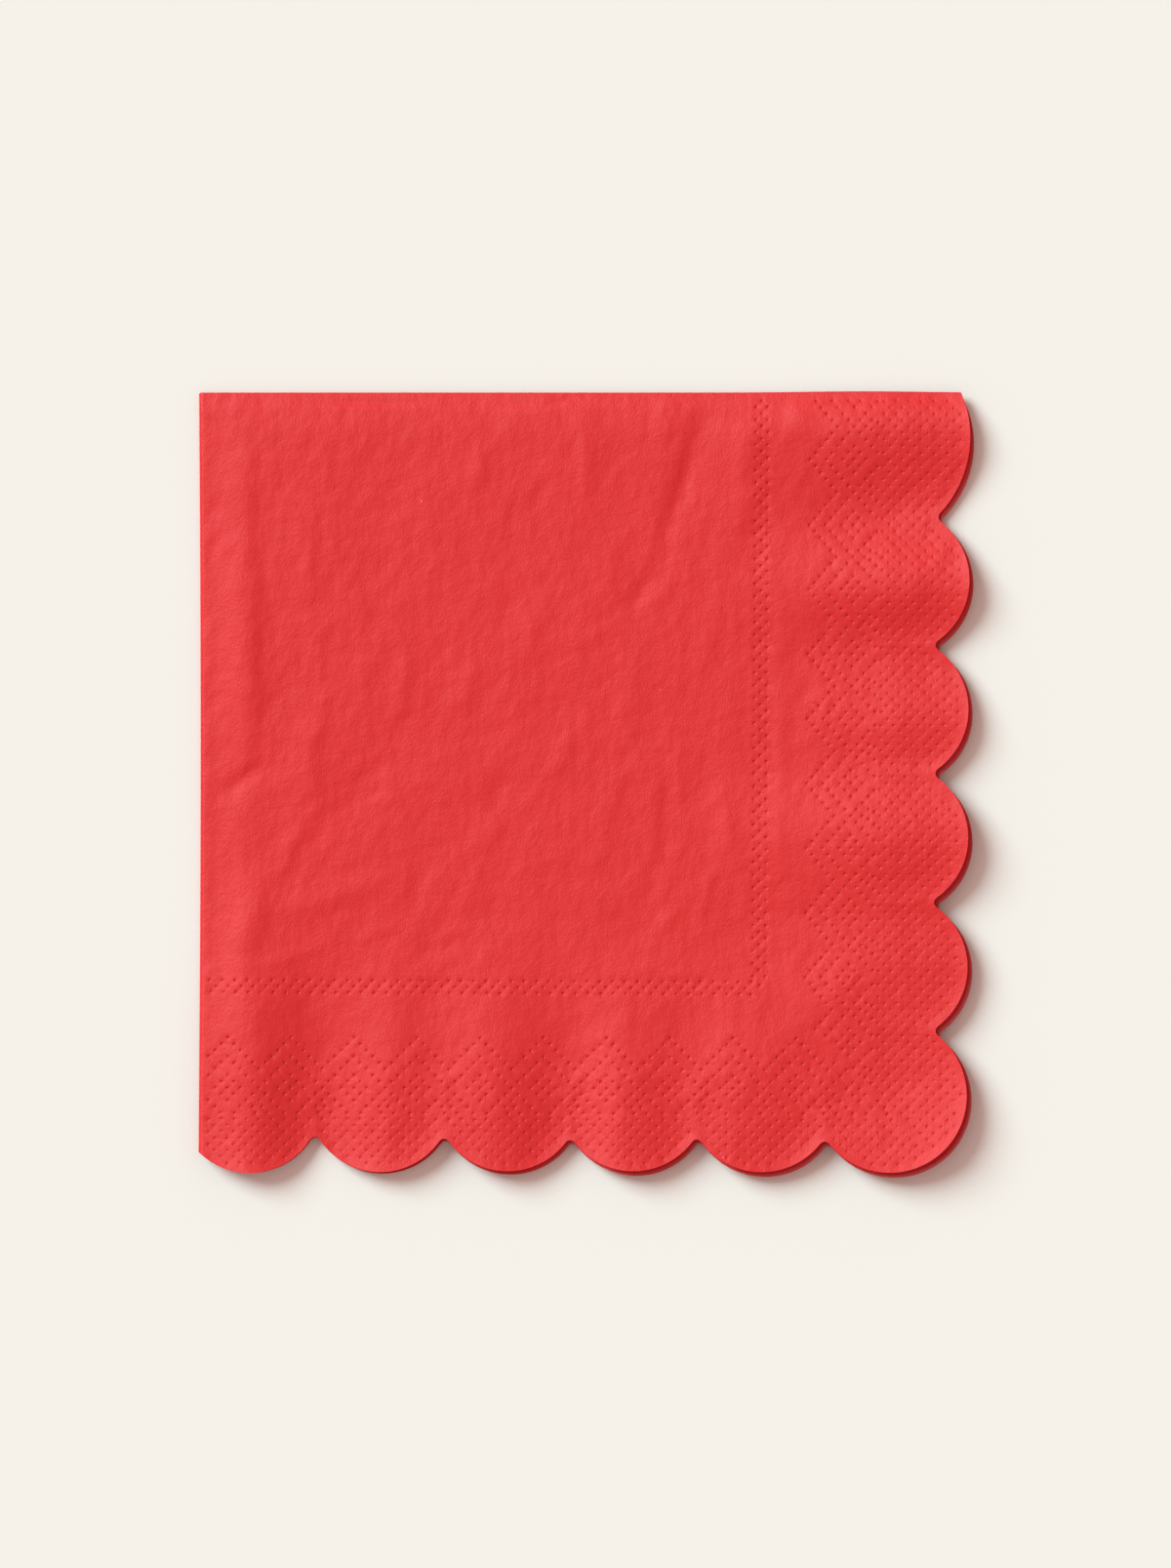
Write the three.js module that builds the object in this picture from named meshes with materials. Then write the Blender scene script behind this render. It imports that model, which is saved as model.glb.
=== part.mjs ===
// A square paper napkin with scalloped sides, folded twice into quarters and lying flat.
// Millimetres, +Z up. +X runs from the second fold to the scalloped side opposite it, +Y runs
// from the scalloped side nearest the viewer to the first fold. The origin is the middle of
// the folded napkin, on the surface that it lies on.
import * as THREE from 'three';

// Thickness of the embossed paper, and the distance from one layer to the next in the stack.
const PAPER = 1.0;
const LAYER_PITCH = 1.2;

// How far each fold's rounded edge stands outside the straight part of the layers.
const LEFT_FOLD_REACH = 1.5 * LAYER_PITCH + PAPER / 2;
const TOP_FOLD_REACH = 0.5 * LAYER_PITCH + PAPER / 2;

// The die cut lobes. "at" is the lobe's middle along the side and "crest" its tip, both measured
// from the outside of the two folds: "across" from the left fold, "down" from the top fold.
const BOTTOM_LOBES = [
  { at: 10.9, crest: 166.8, radius: 15.2 },
  { at: 38.7, crest: 166.6, radius: 15.5 },
  { at: 66.0, crest: 166.4, radius: 15.6 },
  { at: 92.8, crest: 166.4, radius: 15.8 },
  { at: 120.2, crest: 166.6, radius: 16.0 },
];
const CORNER_LOBE = { across: 147.5, down: 150.2, radius: 16.5 };
const RIGHT_LOBES = [
  { at: 122.8, crest: 164.2, radius: 15.7 },
  { at: 95.1, crest: 164.3, radius: 15.7 },
  { at: 67.7, crest: 164.4, radius: 15.7 },
  { at: 40.1, crest: 164.6, radius: 15.9 },
  { at: 9.5, crest: 164.8, radius: 24.0 },
];
const NOTCH_RADIUS = 1.15;

// The lower pair of layers was folded under a little askew. Its free corner has slid out to the
// right and down, and its top fold lies lower than the upper pair's at the right-hand end. The
// slide down is whole from SLIDE_WHOLE of the way across.
const SLIDE_RIGHT = 0.8;
const SLIDE_DOWN = 0.85;
const SLIDE_DOWN_AT_TOP_FOLD = 1.9;
const SLIDE_SETTLES = 28;
const SLIDE_WHOLE = 0.6;
// The inner layer of each pair hangs out a little beyond the outer one.
const INNER_LAYER_CREEP = 0.3;

// The cut and the embossing leave the borders fluted. "at" is a place along the side, "rise" how
// high the top layer stands there above the flat stack, and "run" how far in the flute reaches.
const BOTTOM_FLUTES = [
  { at: 0, rise: 0.45, run: 55 },
  { at: 10.5, rise: 1.05, run: 60 },
  { at: 26.5, rise: -0.35, run: 55 },
  { at: 41.5, rise: 0.55, run: 42 },
  { at: 52.5, rise: 0.15, run: 36 },
  { at: 64, rise: 1.05, run: 42 },
  { at: 78.5, rise: -0.15, run: 42 },
  { at: 92, rise: 1.35, run: 42 },
  { at: 105.5, rise: 0.35, run: 38 },
  { at: 120.5, rise: 1.35, run: 42 },
  { at: 141.5, rise: 0.35, run: 44 },
  { at: 165, rise: 1.75, run: 34 },
];
const RIGHT_FLUTES = [
  { at: 0, rise: 0.45, run: 40 },
  { at: 7.5, rise: 1.35, run: 42 },
  { at: 25, rise: 0.05, run: 40 },
  { at: 41, rise: 1.65, run: 40 },
  { at: 55, rise: 0.45, run: 38 },
  { at: 71, rise: 1.25, run: 34 },
  { at: 78.5, rise: 1.05, run: 34 },
  { at: 95.5, rise: 2.15, run: 44 },
  { at: 114, rise: 0.75, run: 36 },
  { at: 124, rise: 0.95, run: 36 },
  { at: 146, rise: 0.25, run: 42 },
  { at: 165, rise: 1.75, run: 34 },
];
const FLUTES_START = 12;
const FLUTES_MEET = 42;

// The left fold bows in towards its middle. The top fold bulges out near its right-hand end.
const LEFT_FOLD_BOW = 0.33;
const TOP_FOLD_BULGE = { at: 142, width: 17, height: 0.26 };
const BOW_FADES = 30;

// Mesh density: each ring runs along the two free sides, its "share" is its place on the way
// from the cut edge (0) to the corner where the folds meet (1).
const RINGS = [
  { share: 0.045, segments: 36 },
  { share: 0.095, segments: 30 },
  { share: 0.15, segments: 26 },
  { share: 0.215, segments: 20 },
  { share: 0.29, segments: 12 },
  { share: 0.4, segments: 8 },
  { share: 0.53, segments: 6 },
  { share: 0.68, segments: 4 },
  { share: 0.84, segments: 2 },
];
const LOBE_SEGMENTS = 8;
const NOTCH_SEGMENTS = 3;
const BEND_SEGMENTS = 8;

// Half a turn, which is what the paper makes at each fold.
const TURN = Math.PI;

// Falls smoothly from 1 at nothing to 0 at "length".
function fade(value, length) {
  return 1 - THREE.MathUtils.smoothstep(value, 0, length);
}

// Centre of a lobe's circle, in millimetres across and down from the folds.
function lobeCentre(lobe, side) {
  if (side === 'bottom') {
    return new THREE.Vector2(lobe.at, lobe.crest - lobe.radius);
  }
  return new THREE.Vector2(lobe.crest - lobe.radius, lobe.at);
}

// Centre of the small circle that rounds the notch between two lobes: it touches both from
// outside, on the side away from the napkin's middle.
function notchCentre(a, b) {
  const fromA = a.radius + NOTCH_RADIUS;
  const fromB = b.radius + NOTCH_RADIUS;
  const gap = b.centre.clone().sub(a.centre);
  const distance = gap.length();
  const along = (fromA ** 2 - fromB ** 2 + distance ** 2) / (2 * distance);
  const outward = new THREE.Vector2(-gap.y, gap.x).normalize();
  return a.centre.clone()
    .addScaledVector(gap.normalize(), along)
    .addScaledVector(outward, Math.sqrt(fromA ** 2 - along ** 2));
}

function angleFrom(centre, point) {
  return Math.atan2(point.y - centre.y, point.x - centre.x);
}

function arcPoints(centre, radius, start, end, clockwise, segments) {
  return new THREE.ArcCurve(centre.x, centre.y, radius, start, end, clockwise)
    .getPoints(segments);
}

// Where the first lobe of each side meets the fold that it starts from.
function bottomEdgeDown(across) {
  const lobe = BOTTOM_LOBES[0];
  const centre = lobeCentre(lobe, 'bottom');
  return centre.y + Math.sqrt(lobe.radius ** 2 - (across - centre.x) ** 2);
}

function rightEdgeAcross(down) {
  const lobe = RIGHT_LOBES[RIGHT_LOBES.length - 1];
  const centre = lobeCentre(lobe, 'right');
  return centre.x + Math.sqrt(lobe.radius ** 2 - (down - centre.y) ** 2);
}

// The cut edge of one quarter, as two legs that meet on the corner lobe.
function cutEdge() {
  const lobes = [
    ...BOTTOM_LOBES.map((lobe) => ({ centre: lobeCentre(lobe, 'bottom'), radius: lobe.radius })),
    {
      centre: new THREE.Vector2(CORNER_LOBE.across, CORNER_LOBE.down),
      radius: CORNER_LOBE.radius,
    },
    ...RIGHT_LOBES.map((lobe) => ({ centre: lobeCentre(lobe, 'right'), radius: lobe.radius })),
  ];
  const corner = BOTTOM_LOBES.length;
  const first = new THREE.Vector2(LEFT_FOLD_REACH, bottomEdgeDown(LEFT_FOLD_REACH));
  const last = new THREE.Vector2(rightEdgeAcross(TOP_FOLD_REACH), TOP_FOLD_REACH);
  const bottom = [first];
  const right = [];
  let leg = bottom;
  let start = angleFrom(lobes[0].centre, first);
  lobes.forEach((lobe, index) => {
    const next = lobes[index + 1];
    const notch = next ? notchCentre(lobe, next) : null;
    const end = angleFrom(lobe.centre, notch ?? last);
    const segments = index === corner ? 2 * LOBE_SEGMENTS : LOBE_SEGMENTS;
    arcPoints(lobe.centre, lobe.radius, start, end, true, segments)
      .slice(1)
      .forEach((point, step) => {
        leg.push(point);
        if (index === corner && step === LOBE_SEGMENTS - 1) {
          right.push(point);
          leg = right;
        }
      });
    if (!next) {
      return;
    }
    const into = angleFrom(notch, lobe.centre);
    const out = angleFrom(notch, next.centre);
    arcPoints(notch, NOTCH_RADIUS, into, out, false, NOTCH_SEGMENTS)
      .slice(1)
      .forEach((point) => leg.push(point));
    start = angleFrom(next.centre, notch);
  });
  return { bottom, right };
}

// A flat layer is described by "over" and "under": the distances from where the left bend and
// the top bend end. The angle "wrap" runs round the left fold from the upper pair (0) to the
// lower pair (half a turn), and "tuck" round the top fold from the outer layer of a pair (0) to
// its inner layer (half a turn).
const edge = cutEdge();
const cornerPoint = edge.right[0];
const overCorner = cornerPoint.x - LEFT_FOLD_REACH;
const underCorner = cornerPoint.y - TOP_FOLD_REACH;

function ringLegs() {
  const fold = (point) => ({
    over: point.x - LEFT_FOLD_REACH,
    under: point.y - TOP_FOLD_REACH,
  });
  const legs = [{ bottom: edge.bottom.map(fold), right: edge.right.map(fold) }];
  for (const { share, segments } of RINGS) {
    const over = overCorner * (1 - share);
    const under = underCorner * (1 - share);
    const bottom = [];
    const right = [];
    for (let step = 0; step <= segments; step += 1) {
      bottom.push({ over: (over * step) / segments, under });
      right.push({ over, under: under * (1 - step / segments) });
    }
    legs.push({ bottom, right });
  }
  legs.push({ bottom: [{ over: 0, under: 0 }], right: [{ over: 0, under: 0 }] });
  return legs;
}

// Height of one side's flutes at a place along it and a distance "inwards" from its lobes' tips.
function flutes(chart, along, inwards) {
  const found = chart.findIndex((row) => row.at > along);
  const next = found < 0 ? chart.length - 1 : Math.max(found, 1);
  const [before, after] = [chart[next - 1], chart[next]];
  const level = (row) => row.rise * fade(inwards - FLUTES_START, row.run);
  const share = THREE.MathUtils.smoothstep(along, before.at, after.at);
  return THREE.MathUtils.lerp(level(before), level(after), share);
}

// Height of the paper's waves above the flat stack, at a place across and down from the folds.
// The two sides' flutes share the corner.
function relief(across, down) {
  const fromBottom = CORNER_LOBE.down + CORNER_LOBE.radius - down;
  const fromRight = CORNER_LOBE.across + CORNER_LOBE.radius - across;
  const claims = fade(fromBottom - FLUTES_START, FLUTES_MEET)
    + fade(fromRight - FLUTES_START, FLUTES_MEET);
  const height = flutes(BOTTOM_FLUTES, across, fromBottom)
    + flutes(RIGHT_FLUTES, down, fromRight);
  return height / Math.max(claims, 1);
}

// Carries a point of the flat paper, offset by "out" from the paper's middle towards the outside
// of the first fold, to its place in the folded napkin.
function place({ over, under, wrap, tuck }, out) {
  const tuckRadius = LAYER_PITCH / 2;
  const height = (tuckRadius + out) * Math.cos(tuck);
  const middle = tuckRadius * Math.cos(tuck);
  let down = TOP_FOLD_REACH + under - (tuckRadius + out) * Math.sin(tuck);
  let across = LEFT_FOLD_REACH + over - (LAYER_PITCH + height) * Math.sin(wrap);
  let up = LEFT_FOLD_REACH + (LAYER_PITCH + height) * Math.cos(wrap);

  const lower = (1 - Math.cos(wrap)) / 2;
  const inner = (1 - Math.cos(tuck)) / 2;
  const reach = over / overCorner;
  const drop = under / underCorner;
  const slideDown = THREE.MathUtils.lerp(
    SLIDE_DOWN, SLIDE_DOWN_AT_TOP_FOLD, fade(under, SLIDE_SETTLES));
  const creep = inner * reach * drop * INNER_LAYER_CREEP;
  across += lower * reach * SLIDE_RIGHT + creep;
  down += lower * (1 - fade(reach, SLIDE_WHOLE)) * slideDown + creep;

  const level = ((LAYER_PITCH + middle) * Math.cos(wrap) + 1.5 * LAYER_PITCH) / (3 * LAYER_PITCH);
  up += level * relief(across, down);

  const bow = LEFT_FOLD_BOW * Math.sin((TURN * down) / CORNER_LOBE.down);
  const fromBulge = (across - TOP_FOLD_BULGE.at) / TOP_FOLD_BULGE.width;
  const bulge = TOP_FOLD_BULGE.height * Math.exp(-(fromBulge ** 2));
  across += bow * fade(over, BOW_FADES);
  down -= bulge * fade(under, BOW_FADES);
  return new THREE.Vector3(across, -down, up);
}

// The paper as a network of points and triangles on its flat sheet, where "u" and "v" are the
// place on the unfolded napkin. They tell two points apart and which way round a triangle runs.
const points = [];
const triangles = [];
const known = new Map();

function addPoint(over, under, wrap, tuck) {
  const wrapHalf = (LAYER_PITCH * TURN) / 2;
  const tuckHalf = (LAYER_PITCH * TURN) / 4;
  const u = wrapHalf * (1 - (2 * wrap) / TURN) + over * Math.sign(TURN / 2 - wrap);
  const v = tuckHalf * ((2 * tuck) / TURN - 1) - under * Math.sign(TURN / 2 - tuck);
  const key = [over, under, wrap, tuck].map((value) => Math.round(value * 1e5)).join(' ');
  if (!known.has(key)) {
    known.set(key, points.length);
    points.push({ over, under, wrap, tuck, u, v });
  }
  return known.get(key);
}

function addTriangle(a, b, c) {
  const [p, q, r] = [points[a], points[b], points[c]];
  const area = (q.u - p.u) * (r.v - p.v) - (r.u - p.u) * (q.v - p.v);
  triangles.push(area > 0 ? [a, b, c] : [a, c, b]);
}

// Fills the strip between two rows of points. Each row is an array of { index, at }, and the row
// whose next point comes first moves on.
function fillBetween(rowA, rowB) {
  let a = 0;
  let b = 0;
  while (a < rowA.length - 1 || b < rowB.length - 1) {
    const nextA = a < rowA.length - 1 ? rowA[a + 1].at : Infinity;
    const nextB = b < rowB.length - 1 ? rowB[b + 1].at : Infinity;
    if (nextA <= nextB) {
      addTriangle(rowA[a].index, rowA[a + 1].index, rowB[b].index);
      a += 1;
    } else {
      addTriangle(rowA[a].index, rowB[b + 1].index, rowB[b].index);
      b += 1;
    }
  }
}

// The points of a leg, each with its place on the way from one end to the other.
function row(leg, along, wrap, tuck) {
  const direction = along === 'over' ? 1 : -1;
  return leg.map((point) => ({
    index: addPoint(point.over, point.under, wrap, tuck),
    at: direction * point[along],
  }));
}

const legs = ringLegs();
for (const wrap of [0, TURN]) {
  for (const tuck of [0, TURN]) {
    for (let ring = 0; ring < legs.length - 1; ring += 1) {
      for (const [side, along] of [['bottom', 'over'], ['right', 'under']]) {
        fillBetween(row(legs[ring][side], along, wrap, tuck),
          row(legs[ring + 1][side], along, wrap, tuck));
      }
    }
  }
}

const bendAngles = Array.from({ length: BEND_SEGMENTS + 1 },
  (_, step) => (TURN * step) / BEND_SEGMENTS);

// The left fold joins the upper pair to the lower pair, once for each layer of a pair. Its cut
// end keeps to the first lobe's circle as the paper goes round.
for (const tuck of [0, TURN]) {
  const radius = LAYER_PITCH + (LAYER_PITCH / 2) * Math.cos(tuck);
  const columns = bendAngles.map((wrap) => legs.map((leg, ring) => {
    const across = LEFT_FOLD_REACH - radius * Math.sin(wrap);
    const under = ring === 0 ? bottomEdgeDown(across) - TOP_FOLD_REACH : leg.bottom[0].under;
    return { index: addPoint(0, under, wrap, tuck), at: ring };
  }));
  columns.slice(1).forEach((column, step) => fillBetween(columns[step], column));
}

// The top fold joins the two layers of a pair, once for the upper pair and once for the lower.
for (const wrap of [0, TURN]) {
  const columns = bendAngles.map((tuck) => legs.map((leg, ring) => {
    const down = TOP_FOLD_REACH - (LAYER_PITCH / 2) * Math.sin(tuck);
    const end = leg.right[leg.right.length - 1];
    const over = ring === 0 ? rightEdgeAcross(down) - LEFT_FOLD_REACH : end.over;
    return { index: addPoint(over, 0, wrap, tuck), at: ring };
  }));
  columns.slice(1).forEach((column, step) => fillBetween(columns[step], column));
}

// The corner where both folds meet.
const patch = bendAngles.map((wrap) => bendAngles.map((tuck, step) => ({
  index: addPoint(0, 0, wrap, tuck),
  at: step,
})));
patch.slice(1).forEach((column, step) => fillBetween(patch[step], column));

// Both faces of the paper, and the cut edge between them wherever a side of a triangle has no
// neighbour.
const outside = points.map((point) => place(point, PAPER / 2));
const inside = points.map((point) => place(point, -PAPER / 2));
const behind = points.length;
const sides = new Set(triangles.flatMap(([a, b, c]) => [`${a} ${b}`, `${b} ${c}`, `${c} ${a}`]));
const faces = triangles.flatMap(([a, b, c]) => [a, b, c, a + behind, c + behind, b + behind]);
for (const side of sides) {
  const [from, to] = side.split(' ').map(Number);
  if (!sides.has(`${to} ${from}`)) {
    faces.push(to, from, from + behind);
    faces.push(to, from + behind, to + behind);
  }
}

const geometry = new THREE.BufferGeometry().setFromPoints([...outside, ...inside]);
geometry.setIndex(faces);
geometry.computeBoundingBox();
const middle = geometry.boundingBox.getCenter(new THREE.Vector3());
geometry.translate(-middle.x, -middle.y, -geometry.boundingBox.min.z);
geometry.computeVertexNormals();

const paper = new THREE.MeshStandardMaterial({ color: 0xe13c41, roughness: 0.92, metalness: 0 });
const napkin = new THREE.Mesh(geometry, paper);
napkin.name = 'napkin';

const object = new THREE.Group();
object.add(napkin);

export default object;
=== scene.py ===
import math

import bpy
import numpy as np
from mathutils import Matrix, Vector, noise
from mathutils.geometry import delaunay_2d_cdt
from mathutils.kdtree import KDTree


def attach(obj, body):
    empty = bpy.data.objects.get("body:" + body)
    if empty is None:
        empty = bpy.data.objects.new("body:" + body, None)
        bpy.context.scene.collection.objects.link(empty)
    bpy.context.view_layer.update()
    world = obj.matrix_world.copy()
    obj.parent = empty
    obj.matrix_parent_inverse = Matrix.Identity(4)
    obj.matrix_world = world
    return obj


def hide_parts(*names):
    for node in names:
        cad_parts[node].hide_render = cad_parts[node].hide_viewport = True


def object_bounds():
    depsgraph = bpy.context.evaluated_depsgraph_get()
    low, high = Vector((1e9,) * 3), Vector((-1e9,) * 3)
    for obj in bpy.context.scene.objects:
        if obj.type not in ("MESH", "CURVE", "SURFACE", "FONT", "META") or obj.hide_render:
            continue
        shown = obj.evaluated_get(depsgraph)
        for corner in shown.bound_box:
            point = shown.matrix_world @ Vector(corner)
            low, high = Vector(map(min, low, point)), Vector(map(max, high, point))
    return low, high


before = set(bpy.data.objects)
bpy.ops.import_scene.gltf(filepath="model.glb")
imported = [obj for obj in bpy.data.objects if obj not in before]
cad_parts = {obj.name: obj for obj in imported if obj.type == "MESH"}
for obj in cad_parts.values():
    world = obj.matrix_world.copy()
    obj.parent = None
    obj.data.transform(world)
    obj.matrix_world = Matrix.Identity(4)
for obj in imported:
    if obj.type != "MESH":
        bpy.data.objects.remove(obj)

cad_low, cad_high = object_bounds()


# The napkin starts as one flat square of dyed tissue, three plies pressed together, die cut on
# all four sides into round lobes. Sizes are millimetres until the mesh is made. "Across" is
# counted from the outside of the left fold and "down" from the outside of the top fold.
MM = 0.001
PLIES = 0.36
CUT_EDGE = 0.28
LAYER_PITCH = 0.5
OUTER_BEND = 1.5 * LAYER_PITCH
INNER_BEND = 0.5 * LAYER_PITCH
LEFT_REACH = OUTER_BEND + PLIES / 2
TOP_REACH = INNER_BEND + PLIES / 2
LEFT_HALF = math.pi / 2 * LAYER_PITCH
TOP_HALF = math.pi / 4 * LAYER_PITCH

# Each lobe is a circle: its middle across and down, and its radius.
LOBES = (
    (10.9, 151.6, 15.2),
    (38.7, 151.1, 15.5),
    (66.0, 150.8, 15.6),
    (92.8, 150.6, 15.8),
    (120.2, 150.6, 16.0),
    (147.5, 150.2, 16.5),
    (148.5, 122.8, 15.7),
    (148.6, 95.1, 15.7),
    (148.7, 67.7, 15.7),
    (148.7, 40.1, 15.9),
    (140.8, 9.5, 24.0),
)
CORNER = LOBES[5]
NOTCH = 1.15
CUT_STEP = 0.9


def heading(start, end):
    return math.atan2(end[1] - start[1], end[0] - start[0])


def arc(middle, radius, start, end):
    """Points on a circle from one angle to the other, the first left out."""
    least = 3
    steps = max(least, math.ceil(abs(end - start) * radius / CUT_STEP))
    angles = np.linspace(start, end, steps + 1)[1:]
    return np.stack([middle[0] + radius * np.cos(angles), middle[1] + radius * np.sin(angles)], 1)


def notch_between(a, b):
    """Middle of the small circle that rounds the notch between two lobes."""
    gap = math.dist(a[:2], b[:2])
    along = ((a[2] + NOTCH) ** 2 - (b[2] + NOTCH) ** 2 + gap**2) / (2 * gap)
    away = math.sqrt((a[2] + NOTCH) ** 2 - along**2)
    step = ((b[0] - a[0]) / gap, (b[1] - a[1]) / gap)
    return a[0] + step[0] * along - step[1] * away, a[1] + step[1] * along + step[0] * away


def bottom_edge(across):
    lobe = LOBES[0]
    return lobe[1] + np.sqrt(lobe[2] ** 2 - (across - lobe[0]) ** 2)


def right_edge(down):
    lobe = LOBES[-1]
    return lobe[0] + np.sqrt(lobe[2] ** 2 - (down - lobe[1]) ** 2)


NOTCHES = [notch_between(a, b) for a, b in zip(LOBES, LOBES[1:])]


def quarter_cut():
    """The cut line of one quarter, from the left fold round the free corner to the top fold."""
    first = (LEFT_REACH, float(bottom_edge(LEFT_REACH)))
    last = (float(right_edge(TOP_REACH)), TOP_REACH)
    line = [np.array([first])]
    start = heading(LOBES[0], first)
    for lobe, notch, after in zip(LOBES, [*NOTCHES, last], [*LOBES[1:], None]):
        line.append(arc(lobe, lobe[2], start, heading(lobe, notch)))
        if after is not None:
            start, end = heading(notch, lobe), heading(notch, after)
            line.append(arc(notch, NOTCH, start, end + 2 * math.pi * (end < start)))
            start = heading(after, notch)
    return np.concatenate(line)


def flat_outline():
    """The whole napkin's cut line, unfolded: u runs across and v up from the crossing folds."""
    bend_steps = 6
    bend = np.arange(bend_steps) / bend_steps
    line = quarter_cut() - (LEFT_REACH, TOP_REACH) + (LEFT_HALF, TOP_HALF)
    round_top = np.cos(bend[::-1] * math.pi / 2) * INNER_BEND
    by_top = right_edge(TOP_REACH - round_top) - LEFT_REACH + LEFT_HALF
    outline = []
    for up, reach in ((-1, OUTER_BEND), (1, INNER_BEND)):
        round_left = np.cos(bend * math.pi / 2) * reach
        by_left = bottom_edge(LEFT_REACH - round_left) - TOP_REACH + TOP_HALF
        quarter = np.concatenate([
            np.stack([bend * LEFT_HALF, by_left], 1),
            line,
            np.stack([by_top, bend[::-1] * TOP_HALF], 1),
        ]) * (1, up)
        outline.append(quarter if up < 0 else quarter[::-1][1:])
    right = np.concatenate(outline)
    left = right[::-1][1:-1] * (-1, 1)
    return np.concatenate([right, left])


def inside(flat, margin):
    """Which points of the flat napkin lie inside its cut line by at least that margin."""
    across = np.maximum(np.abs(flat[:, 0]) - LEFT_HALF, 0) + LEFT_REACH
    down = np.maximum(np.abs(flat[:, 1]) - TOP_HALF, 0) + TOP_REACH
    held = (across < CORNER[0]) & (down < CORNER[1])
    for middle_across, middle_down, radius in LOBES:
        held |= np.hypot(across - middle_across, down - middle_down) < radius - margin
    for notch in NOTCHES:
        held &= np.hypot(across - notch[0], down - notch[1]) > NOTCH + margin
    return held


# Rows of blunt pins press the plies together: a double frame of dots round the middle, and a
# border of zigzag diamonds that fills up towards the cut edge. The charts give the pins' places
# on the top quarter, and the other quarters mirror it.
FRAME_STEP = 2.695
FRAME_ACROSS = ((4.857, 125.64, 0.0038), (3.565, 126.89, 0.0043), (5.107, 128.18, 0.0040))
FRAME_ACROSS_END = 118.2
FRAME_DOWN_STEP = 2.702
FRAME_DOWN = ((119.12, 3.19, -0.0057), (120.39, 4.607, -0.0057), (121.64, 3.19, -0.0046))
FRAME_DOWN_END = 125.6
FRAME_CORNER = ((117.95, 128.72), (119.8, 126.75))

# A diamond is that many columns wide. Each row below is one row of its pins, by column.
MOTIF = 10
MOTIFS = 14
DIAMONDS = (
    (0,), (-1, 1), (-2, 2), (-3, 0, 3), (-4, -1, 1, 4), (-2, 2, 5), (-3, 0, 3), (-4, -1, 1, 4),
    (-2, 0, 2, 5), (-4, -1, 1, 4), (-3, 0, 3, 5), (-2, 2, 4, 5.45), (-1.1, 1.1, 4.4, 6.35),
)
BOTTOM_BORDER = {"first": 6.19, "column": 1.3498, "top": 137.86, "slope": 0.0019, "row": 1.34}
RIGHT_BORDER = {"first": 14.51, "column": 1.382, "top": 130.83, "slope": -0.0101, "row": 1.126}
RIGHT_ROW_GROWTH = 0.00625
BORDER_ROWS = 27
MITRE_ACROSS = 120.4
MITRE_DOWN = 127.0
BOTTOM_MITRE_LAP = 0.3
RIGHT_MITRE_GAP = 0.9
PIN_MARGIN = 1.15
PIN_WANDER = 0.05
PIN_SEED = 33
FOLD_CLEAR = 1.4
FULL_FORCE = 1.0
LIGHT_FORCE = 0.7


def frame_pins():
    """The two frame lines, three staggered rows each, that meet in a cut-off corner."""
    for first, down, slope in FRAME_ACROSS:
        across = np.arange(first - FRAME_STEP, FRAME_ACROSS_END, FRAME_STEP)
        yield from zip(across, down + slope * (across - first))
    for across, first, slope in FRAME_DOWN:
        down = np.arange(first - FRAME_DOWN_STEP, FRAME_DOWN_END, FRAME_DOWN_STEP)
        yield from zip(across + slope * (down - first), down)
    yield from FRAME_CORNER


def border_pins(border, growth):
    """Pins of one side's border: place along the side, depth towards its cut edge, and force."""
    for row in range(BORDER_ROWS):
        if row < len(DIAMONDS):
            columns = [n * MOTIF + i for n in range(-1, MOTIFS) for i in DIAMONDS[row]]
            force = FULL_FORCE
        else:
            columns = range(-MOTIF + row % 2, MOTIFS * MOTIF, 2)
            force = LIGHT_FORCE
        for column in columns:
            along = border["first"] + border["column"] * column
            depth = border["top"] + border["slope"] * along + border["row"] * row + growth * row**2
            yield along, depth, force


def quarter_pins():
    """All pins of the top quarter with their forces, mitred along the diagonal, a little astray."""
    pins = [(across, down, FULL_FORCE) for across, down in frame_pins()]
    for along, depth, force in border_pins(BOTTOM_BORDER, 0):
        if depth - MITRE_DOWN >= along - MITRE_ACROSS - BOTTOM_MITRE_LAP:
            pins.append((along, depth, force))
    for along, depth, force in border_pins(RIGHT_BORDER, RIGHT_ROW_GROWTH):
        if along - MITRE_DOWN < depth - MITRE_ACROSS - RIGHT_MITRE_GAP:
            pins.append((depth, along, force))
    chance = np.random.default_rng(PIN_SEED)
    pins = np.array(pins)
    pins[:, :2] += PIN_WANDER * chance.uniform(-1, 1, (len(pins), 2)) / pins[:, 2:] ** 2
    return pins[(pins[:, 0] > FOLD_CLEAR) & (pins[:, 1] > FOLD_CLEAR)]


def unfold(places):
    """Carries places on the top quarter, across and down, to the flat napkin."""
    across, down = places[:, 0], places[:, 1]
    round_left = np.arcsin(np.clip((LEFT_REACH - across) / OUTER_BEND, 0, 1))
    round_top = np.arcsin(np.clip((TOP_REACH - down) / INNER_BEND, 0, 1))
    u = LEFT_HALF * (1 - 2 * round_left / math.pi) + np.maximum(across - LEFT_REACH, 0)
    v = TOP_HALF * (1 - 2 * round_top / math.pi) + np.maximum(down - TOP_REACH, 0)
    return np.stack([u, -v], 1)


def kept_apart(points, others, distance):
    """The points that are at least that far from all the others."""
    tree = KDTree(len(others))
    for index, (u, v) in enumerate(others):
        tree.insert((u, v, 0), index)
    tree.balance()
    clear = [tree.find((u, v, 0))[2] > distance for u, v in points]
    return points[np.array(clear, bool)]


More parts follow.
